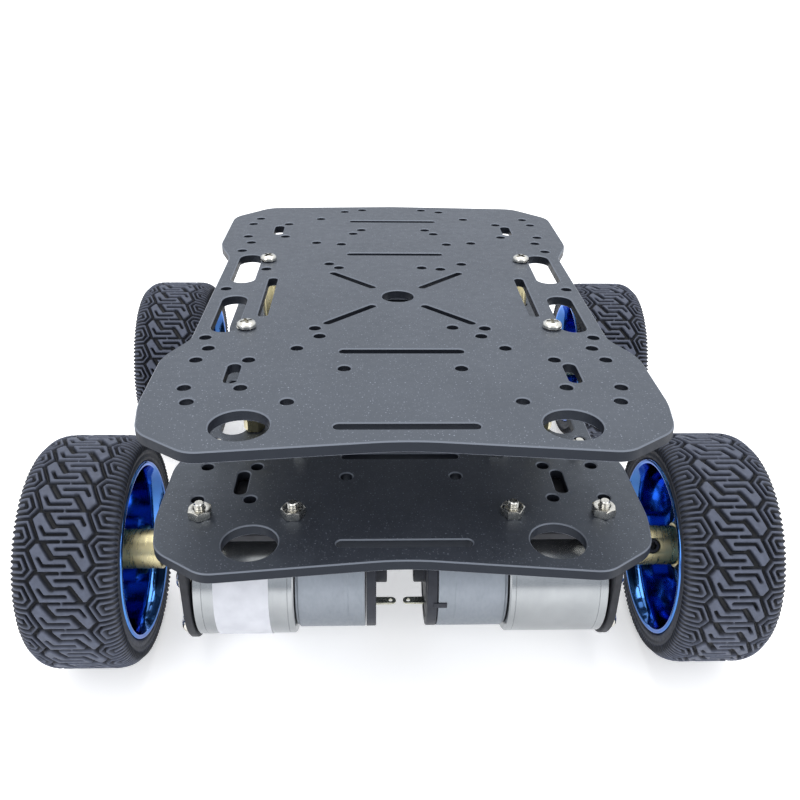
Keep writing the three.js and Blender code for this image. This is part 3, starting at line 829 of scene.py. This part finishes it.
def shaft_mesh():
    """A round shaft with the flat that the set screw bears on, and a chamfered end."""
    flat = 0.7
    section = arc(0, 0, SHAFT_RADIUS, flat, 2 * math.pi - flat, 40)
    mesh = along_x(prism("shaft", section, 0, SHAFT_END_X - SHAFT_START_X), SHAFT_START_X)
    mesh.transform(Matrix.Rotation(math.pi / 2 + SET_SCREW_TURN, 4, "X"))
    return finished(worked(mesh, bevel=0.3), STEEL, 30)


def bracket_mesh():
    """A bent angle: a flange under the deck, a bend, and a face plate round the gearbox."""
    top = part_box("bottom_plate")[0].z / MM - WHEEL_RADIUS - GAP
    x0, x1 = GEARBOX_FACE_X, GEARBOX_FACE_X + BRACKET_THICKNESS
    bend_outer, bend_inner = 3.0, 1.0
    round_radius = GEARBOX_RADIUS + 0.8
    face_outline = [(BRACKET_HALF_WIDTH, top - bend_outer), (-BRACKET_HALF_WIDTH, top - bend_outer)]
    face_outline += arc(0, -GEARBOX_DROP, round_radius, math.pi * 1.02, math.pi * 1.98, 48)
    holes = [circle(0, 0, GEARBOX_BOSS_RADIUS + GAP, 48)]
    holes += [circle(y, z, M3_HOLE_RADIUS) for y, z in gearbox_screw_places()]
    face = along_x(sheet("face", face_outline, holes, BRACKET_THICKNESS, 0.25), x0)
    flange_outline = rounded([
        (BRACKET_INNER_X, -BRACKET_HALF_WIDTH, 4), (x1 - bend_outer, -BRACKET_HALF_WIDTH, 0),
        (x1 - bend_outer, BRACKET_HALF_WIDTH, 0), (BRACKET_INNER_X, BRACKET_HALF_WIDTH, 4)])
    bolt_holes = [circle(x, side * BRACKET_BOLT_Y, M3_HOLE_RADIUS)
                  for x in BRACKET_BOLT_XS for side in (-1, 1)]
    flange = sheet("flange", flange_outline, bolt_holes, BRACKET_THICKNESS, 0.25)
    flange.transform(Matrix.Translation((0, 0, top - BRACKET_THICKNESS)))
    middle = (x1 - bend_outer, top - bend_outer)
    overlap = 0.35
    section = [(middle[0] - overlap, middle[1] + bend_outer)]
    section += arc(*middle, bend_outer, math.pi / 2, 0, 12)
    section += [(middle[0] + bend_outer, middle[1] - overlap),
                (middle[0] + bend_inner, middle[1] - overlap)]
    section += arc(*middle, bend_inner, 0, math.pi / 2, 6)
    section += [(middle[0] - overlap, middle[1] + bend_inner)]
    bend = prism("bend", section, -BRACKET_HALF_WIDTH, BRACKET_HALF_WIDTH)
    bend.transform(Matrix.Rotation(math.pi / 2, 4, "X"))
    return finished(merged("bracket", [face, flange, bend]), POWDER, 35)


def label_mesh():
    """A blank label wrapped round the gearbox, on its +Y side."""
    x0, x1, thickness, offset = 35.6, 50.2, 0.12, 0.03
    steps, start, end = 72, math.radians(-140), math.radians(40)
    verts, faces = [], []
    for i in range(steps + 1):
        angle = start + (end - start) * i / steps
        for radius in (GEARBOX_RADIUS + offset, GEARBOX_RADIUS + offset + thickness):
            for x in (x0, x1):
                verts.append((x, radius * math.cos(angle),
                              radius * math.sin(angle) - GEARBOX_DROP))
    for i in range(steps):
        a, b = 4 * i, 4 * (i + 1)
        faces += [[a, a + 1, b + 1, b], [a + 2, b + 2, b + 3, a + 3],
                  [a, b, b + 2, a + 2], [a + 1, a + 3, b + 3, b + 1]]
    last = 4 * steps
    faces += [[0, 2, 3, 1], [last, last + 1, last + 3, last + 2]]
    return finished(mesh_from("label", verts, faces), LABEL, 30)


# ------------------------------------------------------------------ wheel, outwards along +X


def segment_distance(px, py, start, end):
    """How far each point is from a straight stretch."""
    (ax, ay), (bx, by) = start, end
    dx, dy = bx - ax, by - ay
    t = np.clip(((px - ax) * dx + (py - ay) * dy) / (dx * dx + dy * dy), 0, 1)
    return np.hypot(px - ax - t * dx, py - ay - t * dy)


def tread_groove(across, around, pitch):
    """Distance to the edge of the nearest groove: negative inside it, positive on the ribs.

    The cell repeats every pitch around the tyre and looks the same turned half round."""
    thin, wide, wavy = 0.36, 0.72, 0.46
    half = pitch / 2
    crest, trough = (8.1, 1.9), (5.9, 4.6)
    cell = [
        ((-4.4, -3.3), (-2.2, 0), wide), ((-2.2, 0), (2.2, 0), 0.42), ((2.2, 0), (4.4, 3.3), wide),
        ((-1.1, -2.05), (4.2, -2.05), thin), ((4.2, -2.05), (5.3, -0.2), thin),
        ((1.1, 2.05), (-4.2, 2.05), thin), ((-4.2, 2.05), (-5.3, 0.2), thin),
        ((-6.5, half), (-0.6, half), thin), ((0.6, half), (6.5, half), thin),
    ]
    border = []
    for sign in (-1, 1):
        top = (sign * crest[0], sign * crest[1])
        low = (sign * trough[0], sign * trough[1])
        before = (sign * trough[0], sign * (trough[1] - pitch))
        border += [(before, top), (top, low)]
    groove = np.full(across.shape, 99.0)
    edge = np.full(across.shape, 99.0)
    for shift in (-2 * pitch, -pitch, 0, pitch, 2 * pitch):
        y = around - shift
        for start, end, width in cell:
            groove = np.minimum(groove, segment_distance(across, y, start, end) - width)
        for start, end in border:
            distance = segment_distance(across, y, start, end)
            groove = np.minimum(groove, distance - wavy)
            edge = np.minimum(edge, distance)
        for sign in (-1, 1):
            start = (sign * crest[0], sign * crest[1])
            distance = segment_distance(across, y, start, (sign * 20, sign * crest[1]))
            edge = np.minimum(edge, distance)
    # Shoulder blocks: grooves nested inside each block, a step apart.
    nest, nest_width = 1.5, 0.36
    nested = np.abs((edge + nest / 2) % nest - nest / 2) - nest_width
    line = np.interp(np.mod(np.sign(across) * around + pitch - crest[1], pitch),
                     [0, trough[1] - crest[1], pitch], [crest[0], trough[0], crest[0]])
    shoulder = np.abs(across) > line
    return np.where(shoulder, np.minimum(nested, groove), groove)


def tyre_mesh():
    """The tyre: a closed ring of profile rows, with the tread pressed into the outer ones."""
    middle = WHEEL_MIDDLE_X
    half = TYRE_WIDTH / 2
    side_radius = WHEEL_RADIUS - 4.4
    # Right half of the outer profile, from the middle of the tread to the bead.
    a, b, c, d = np.array([(half - 5.2, WHEEL_RADIUS), (half - 0.6, WHEEL_RADIUS - 0.4),
                           (half - 0.1, WHEEL_RADIUS - 2.4), (half, side_radius)])
    t = np.linspace(0, 1, 40)[1:, None]
    curve = a * (1 - t) ** 3 + 3 * b * t * (1 - t) ** 2 + 3 * c * t ** 2 * (1 - t) + d * t ** 3
    flat = [(a[0] * (k / 30), WHEEL_RADIUS) for k in range(31)]
    outer = np.concatenate([flat, curve])
    travelled = np.concatenate([[0], np.cumsum(np.hypot(*np.diff(outer, axis=0).T))])
    reach = np.arange(0, travelled[-1], 0.27)
    half_x = np.interp(reach, travelled, outer[:, 0])
    half_r = np.interp(reach, travelled, outer[:, 1])
    # The side wall, with a thin raised line and the bead lip, then the lining inside.
    bead = RIM_RADIUS + 0.15
    wall = [(half, side_radius), (half, 27.4), (half, 27.0), (half - 0.25, 26.8),
            (half - 0.25, 26.3), (half, 26.0), (half, 25.3), (half - 0.25, bead),
            (half - 2.4, bead), (half - 3.4, WHEEL_RADIUS - 3.2)]
    side_x, side_r = np.array(wall).T
    far = 99.0
    rows_x = np.concatenate([half_x, side_x, -side_x[::-1], -half_x[:0:-1]])
    rows_r = np.concatenate([half_r, side_r, side_r[::-1], half_r[:0:-1]])
    rows_s = np.concatenate([reach, np.full(len(wall), far), np.full(len(wall), -far),
                             -reach[:0:-1]])
    columns = TREAD_PITCHES * TREAD_STEPS
    pitch = 2 * math.pi * WHEEL_RADIUS / TREAD_PITCHES
    around = np.arange(TREAD_STEPS) * pitch / TREAD_STEPS - pitch / 2
    s, u = np.meshgrid(rows_s, around, indexing="ij")
    groove = tread_groove(s, u, pitch)
    slope = 0.22
    land = np.clip((groove + slope) / (2 * slope), 0, 1)
    land = land * land * (3 - 2 * land)
    depth = TREAD_DEPTH * np.interp(np.abs(rows_s), [0, 9, 12.6, 14.4, 15.5], [1, 1, 0.65, 0.35, 0])
    press = depth[:, None] * (1 - land)
    land = np.where(np.abs(s) > 14.8, 0.6, land)
    press = np.tile(press, (1, TREAD_PITCHES))
    land = np.tile(land, (1, TREAD_PITCHES))
    # Press along the profile's own normal, so that the shoulders keep their shape.
    tangent = np.stack([np.roll(rows_x, -1) - np.roll(rows_x, 1),
                        np.roll(rows_r, -1) - np.roll(rows_r, 1)], 1)
    tangent /= np.maximum(np.hypot(*tangent.T), 1e-6)[:, None]
    normal_x, normal_r = -tangent[:, 1], tangent[:, 0]
    x = middle + rows_x[:, None] + normal_x[:, None] * press
    r = rows_r[:, None] - normal_r[:, None] * press
    angle = 2 * np.pi * np.arange(columns) / columns
    verts = np.stack([x, -r * np.cos(angle), -r * np.sin(angle)], -1).reshape(-1, 3)
    rows = len(rows_x)
    i, j = np.meshgrid(np.arange(rows), np.arange(columns), indexing="ij")
    ni, nj = (i + 1) % rows, (j + 1) % columns
    faces = np.stack([i * columns + j, ni * columns + j, ni * columns + nj, i * columns + nj], -1)
    mesh = bpy.data.meshes.new("tyre")
    mesh.from_pydata(verts.tolist(), [], faces.reshape(-1, 4).tolist())
    check = bmesh.new()
    check.from_mesh(mesh)
    if check.calc_volume(signed=True) < 0:
        bmesh.ops.reverse_faces(check, faces=check.faces)
    check.to_mesh(mesh)
    check.free()
    # tread_land also drives the rubber's painted groove shade and rib sheen
    attribute = mesh.attributes.new("tread_land", "FLOAT", "POINT")
    attribute.data.foreach_set("value", land.reshape(-1).astype(np.float32))
    return finished(mesh, RUBBER, 180)


def foam_mesh():
    inset = 5.0
    x0, x1 = WHEEL_INNER_X + inset, WHEEL_INNER_X + TYRE_WIDTH - inset
    inner, outer = RIM_RADIUS + 0.3, WHEEL_RADIUS - 3.6
    ring = turned("foam", [(x0, inner), (x0, outer), (x1, outer), (x1, inner)], 72, closed=True)
    return finished(worked(ring, bevel=0.6, bevel_steps=3), FOAM, 40)


def rim_mesh():
    """A dished rim: rolled lips, a web with rounded windows, and a hub with a hex socket."""
    x0, x1 = WHEEL_INNER_X - 0.2, WHEEL_INNER_X + TYRE_WIDTH + 0.2
    inside = RIM_BARREL_RADIUS - RIM_WALL
    web_end = RIM_WEB_X + RIM_WEB_THICKNESS
    lip = 2.0
    roll = 0.75
    middle = RIM_RADIUS - roll
    turns = np.linspace(math.pi / 2, -math.pi / 2, 9)
    inner_lip = [(x0 + roll * (1 - math.cos(a)), middle - roll * math.sin(a)) for a in turns]
    outer_lip = [(x1 - roll * (1 - math.cos(a)), middle + roll * math.sin(a)) for a in turns]
    profile = [
        (RIM_HUB_X, 0), (RIM_HUB_X, RIM_HUB_RADIUS - 0.6), (RIM_HUB_X + 0.6, RIM_HUB_RADIUS),
        (RIM_WEB_X - 1.2, RIM_HUB_RADIUS + 0.3), (RIM_WEB_X, RIM_HUB_RADIUS + 1.5),
        (RIM_WEB_X, inside - 1.4), (RIM_WEB_X - 1.4, inside - 0.2), (x0 + lip + 3, inside),
        (x0 + lip, inside + 0.4), *inner_lip,
        (x0 + lip + 0.5, RIM_RADIUS - 0.4), (x0 + 2 * lip, RIM_BARREL_RADIUS),
        (x1 - 2 * lip, RIM_BARREL_RADIUS), (x1 - lip - 0.5, RIM_RADIUS - 0.4), *outer_lip,
        (x1 - lip, inside + 0.4), (web_end + 1.2, inside), (web_end, inside - 1.4),
        (web_end, RIM_HUB_RADIUS + 0.5), (web_end + 1, RIM_HUB_RADIUS - 1),
        (web_end + 1, 0),
    ]
    body = turned("rim", profile, 144)
    cutters = []
    step = 2 * math.pi / RIM_WINDOWS
    for i in range(RIM_WINDOWS):
        outline = rim_window((i + 0.5) * step, RIM_HUB_RADIUS + 2.2, inside - 1.6, step)
        cutters.append(along_x(prism("window", outline, RIM_WEB_X - 2.5, web_end + 2.5)))
    socket = along_x(prism("socket", hexagon(COUPLING_ACROSS_FLATS + 0.6), RIM_HUB_X - 1,
                           COUPLING_END_X + 0.3))
    bore = turned("bore", [(COUPLING_END_X, 0), (COUPLING_END_X, 2.3), (web_end + 2, 2.3),
                           (web_end + 2, 0)], 32)
    drilled = worked(body, cut=merged("windows", cutters))
    drilled = worked(drilled, cut=socket)
    return finished(worked(drilled, cut=bore, bevel=0.2), BLUE, 30)


def rim_window(heading, near, far, step):
    """A window between two spokes: a rounded trapezium, bent round the axle."""
    half_near, half_far = 0.26 * step * near, 0.37 * step * far
    edge = [(half_far * t, far, 0) for t in (0.6, 0.2, -0.2, -0.6)]
    flat = rounded([(-half_near, near, 1.6), (half_near, near, 1.6), (half_far, far, 2.4), *edge,
                    (-half_far, far, 2.4)], 6)
    return [(r * math.cos(heading - u / r), r * math.sin(heading - u / r)) for u, r in flat]


def coupling_mesh():
    """A coupling with a round barrel on the shaft and a hexagon in the hub."""
    r = COUPLING_BARREL_RADIUS
    corner = COUPLING_ACROSS_FLATS / math.sqrt(3)
    x0, x1, x2 = COUPLING_START_X, COUPLING_HEX_X, COUPLING_END_X
    barrel = turned("barrel", [(x0, 0), (x0, r - 0.5), (x0 + 0.5, r), (x1 + 1, r), (x1 + 1, 0)], 96)
    block = along_x(prism("hexagon", hexagon(COUPLING_ACROSS_FLATS), x1, x2))
    shell = turned("shell", [
        (x1 - 1, corner - 1.6), (x1, corner - 0.7), (x1 + 0.7, corner + 0.05),
        (x2 - 0.7, corner + 0.05), (x2, corner - 0.7), (x2 + 1, corner - 0.7),
        (x2 + 1, corner + 2), (x1 - 1, corner + 2)], 72, closed=True)
    bore_radius, screw_bore, bore_end = SHAFT_RADIUS + GAP, 2.15, SHAFT_END_X + GAP
    shaft_bore = turned("bore", [(x0 - 1, 0), (x0 - 1, bore_radius), (bore_end, bore_radius),
                                 (bore_end, screw_bore), (x2 + 1, screw_bore), (x2 + 1, 0)], 48)
    set_bore = radial(turned("set_bore", [(0, 0), (0, SET_SCREW_RADIUS + 0.12),
                                          (9, SET_SCREW_RADIUS + 0.12), (9, 0)], 40))
    mesh = worked(worked(block, cut=shell), join=barrel)
    mesh = worked(mesh, cut=shaft_bore)
    return finished(worked(mesh, cut=set_bore, bevel=0.12), BRASS, 30)


def radial(mesh):
    """A mesh turned about X, set to point out from the axle where the set screw goes."""
    mesh.transform(Matrix.Translation((SET_SCREW_X, 0, 0))
                   @ Matrix.Rotation(SET_SCREW_TURN, 4, "X") @ AXIS_TO_Z)
    return mesh


def set_screw_mesh():
    """A headless black screw with a hex socket."""
    start, length = SHAFT_RADIUS + GAP, 2.0
    profile = [(start, 0), (start, 1.3), *thread(SET_SCREW_RADIUS - 0.1, start + 0.2, start + length),
               (start + length, 0)]
    body = turned("set_screw", profile, 40)
    socket = along_x(prism("socket", hexagon(2.0), start + 0.5, start + length + 1))
    return finished(radial(worked(body, cut=socket)), POWDER, 30)


def wheel_screw_mesh():
    """A button head screw with a cross recess, its head outwards."""
    seat = RIM_WEB_X + RIM_WEB_THICKNESS + 1.3
    screw = pan_screw("wheel_screw", seat - SHAFT_END_X - 0.6, 3.8, 2.2, 1.85)
    screw.transform(Matrix.Translation((seat * MM, 0, 0)) @ AXIS_TO_X)
    return screw


def build_corners():
    drive = {
        "bracket": (bracket_mesh(), "bracket"), "gearbox": (gearbox_mesh(), "gearbox"),
        "motor_can": (motor_can_mesh(), "motor_can"),
        "motor_end_cap": (end_cap_mesh(), "black_plastic"),
    }
    wheel = {
        "output_shaft": (shaft_mesh(), "nickel"), "hex_coupling": (coupling_mesh(), "brass"),
        "set_screw": (set_screw_mesh(), "black_steel"), "rim": (rim_mesh(), "rim"),
        "tyre_foam": (foam_mesh(), "foam"), "tyre": (tyre_mesh(), "tyre"),
        "wheel_screw": (wheel_screw_mesh(), "nickel"),
    }
    terminal = terminal_mesh()
    face_screw = pan_screw("face_screw", 5.5)
    label = label_mesh()
    for corner, side, end in CORNERS:
        turn = Matrix.Identity(4) if side > 0 else Matrix.Rotation(math.pi, 4, "Z")
        home = at(0, axle_y(end), WHEEL_RADIUS) @ turn
        for piece, (mesh, slot_name) in drive.items():
            place(f"{piece}_{corner}_fine", mesh, home, "chassis", f"{piece}_{corner}")
        for piece, (mesh, slot_name) in wheel.items():
            place(f"{piece}_{corner}_fine", mesh, home, f"wheel_{corner}", f"{piece}_{corner}")
        for number, step in enumerate((-1, 1)):
            z = step * TERMINAL_OFFSET - GEARBOX_DROP - 0.35
            place(f"terminal_{corner}_{number + 1}", terminal, home @ at(0, 0, z), "chassis",
                  None)
        for i, (y, z) in enumerate(gearbox_screw_places()):
            seat = home @ at(GEARBOX_FACE_X + BRACKET_THICKNESS - 0.28, y, z)
            spin = Matrix.Rotation(0.5 + 0.9 * i, 4, "Z")
            place(f"face_screw_{corner}_{i + 1}", face_screw, seat @ AXIS_TO_X @ spin, "chassis",
                  None)
        if corner == "front_left":
            place("gearbox_label", label, home, "chassis", None)


# ------------------------------------------------------------------ stage, lights and camera

CAMERA_PLACE = (-7.69, -246.9, 181.8)
CAMERA_PITCH = 0.49621      # angles in radians
CAMERA_YAW = 0.036655
CAMERA_ROLL = 0.015851
CAMERA_LENS = 37.70
FLOOR_HALF_M = 14.0
DOME_STRENGTH = 1.25
DOME_STOPS = ((0.0, (0.42, 0.45, 0.50, 1)), (0.4, (0.80, 0.84, 0.90, 1)), (0.75, (1, 1, 1, 1)))


def build_camera():
    """The camera: its place, then its heading, then a small roll."""
    data = bpy.data.cameras.new("camera")
    data.lens = CAMERA_LENS
    data.sensor_width = 36.0
    camera = bpy.data.objects.new("camera", data)
    forward = Vector((math.sin(CAMERA_YAW) * math.cos(CAMERA_PITCH),
                      math.cos(CAMERA_YAW) * math.cos(CAMERA_PITCH), -math.sin(CAMERA_PITCH)))
    right = Vector((math.cos(CAMERA_YAW), -math.sin(CAMERA_YAW), 0))
    up = right.cross(forward)
    tilt_right = right * math.cos(CAMERA_ROLL) + up * math.sin(CAMERA_ROLL)
    tilt_up = up * math.cos(CAMERA_ROLL) - right * math.sin(CAMERA_ROLL)
    turn = Matrix((tilt_right, tilt_up, -forward)).transposed().to_4x4()
    camera.matrix_world = at(*CAMERA_PLACE) @ turn
    bpy.context.scene.collection.objects.link(camera)
    bpy.context.scene.camera = camera


def area_light(name, place_m, target_m, size, power):
    data = bpy.data.lights.new(name, "AREA")
    data.shape = "RECTANGLE"
    data.size, data.size_y = size
    data.energy = power
    light = bpy.data.objects.new(name, data)
    direction = Vector(target_m) - Vector(place_m)
    light.matrix_world = (Matrix.Translation(place_m)
                          @ direction.to_track_quat("-Z", "Y").to_matrix().to_4x4())
    bpy.context.scene.collection.objects.link(light)


def studio_light(tree):
    """A soft dome, brighter overhead than at the walls, and plain white to camera rays."""
    background = tree.nodes["Background"]
    place_node = tree.nodes.new("ShaderNodeTexCoord")
    parts = tree.nodes.new("ShaderNodeSeparateXYZ")
    ramp = tree.nodes.new("ShaderNodeValToRGB")
    path = tree.nodes.new("ShaderNodeLightPath")
    mix = tree.nodes.new("ShaderNodeMix")
    mix.data_type = "RGBA"
    elements = ramp.color_ramp.elements
    elements.new(0.5)
    for element, (position, colour) in zip(elements, DOME_STOPS):
        element.position = position
        element.color = colour
    tree.links.new(place_node.outputs["Generated"], parts.inputs[0])
    tree.links.new(parts.outputs["Z"], ramp.inputs["Fac"])
    tree.links.new(path.outputs["Is Camera Ray"], mix.inputs[0])
    tree.links.new(ramp.outputs["Color"], mix.inputs[6])
    mix.inputs[7].default_value = (1.0, 1.0, 1.0, 1.0)
    tree.links.new(mix.outputs[2], background.inputs["Color"])
    background.inputs["Strength"].default_value = DOME_STRENGTH


def build_stage():
    """The dome, the floor and three soft lights. Their places and sizes are in metres."""
    bpy.context.scene.view_settings.view_transform = "Standard"
    world = bpy.data.worlds.new("studio")
    bpy.context.scene.world = world
    world.use_nodes = True
    studio_light(world.node_tree)
    half = FLOOR_HALF_M
    floor = bpy.data.objects.new("floor", mesh_from(
        "floor", [(-half, -half, 0), (half, -half, 0), (half, half, 0), (-half, half, 0)],
        [[0, 1, 2, 3]]))
    floor.data.materials.append(floor_material())
    bpy.context.scene.collection.objects.link(floor)
    area_light("overhead", (0, 0.1, 1.0), (0, 0, 0), (0.9, 0.9), 5)
    area_light("front_left", (-0.7, -0.8, 0.5), (0, 0, 0.05), (0.5, 0.5), 2)
    area_light("front_right", (0.8, -0.7, 0.45), (0, 0, 0.05), (0.4, 0.6), 2)


build_camera()
build_stage()
build_decks()
build_deck_hardware()
build_bracket_hardware()
build_corners()
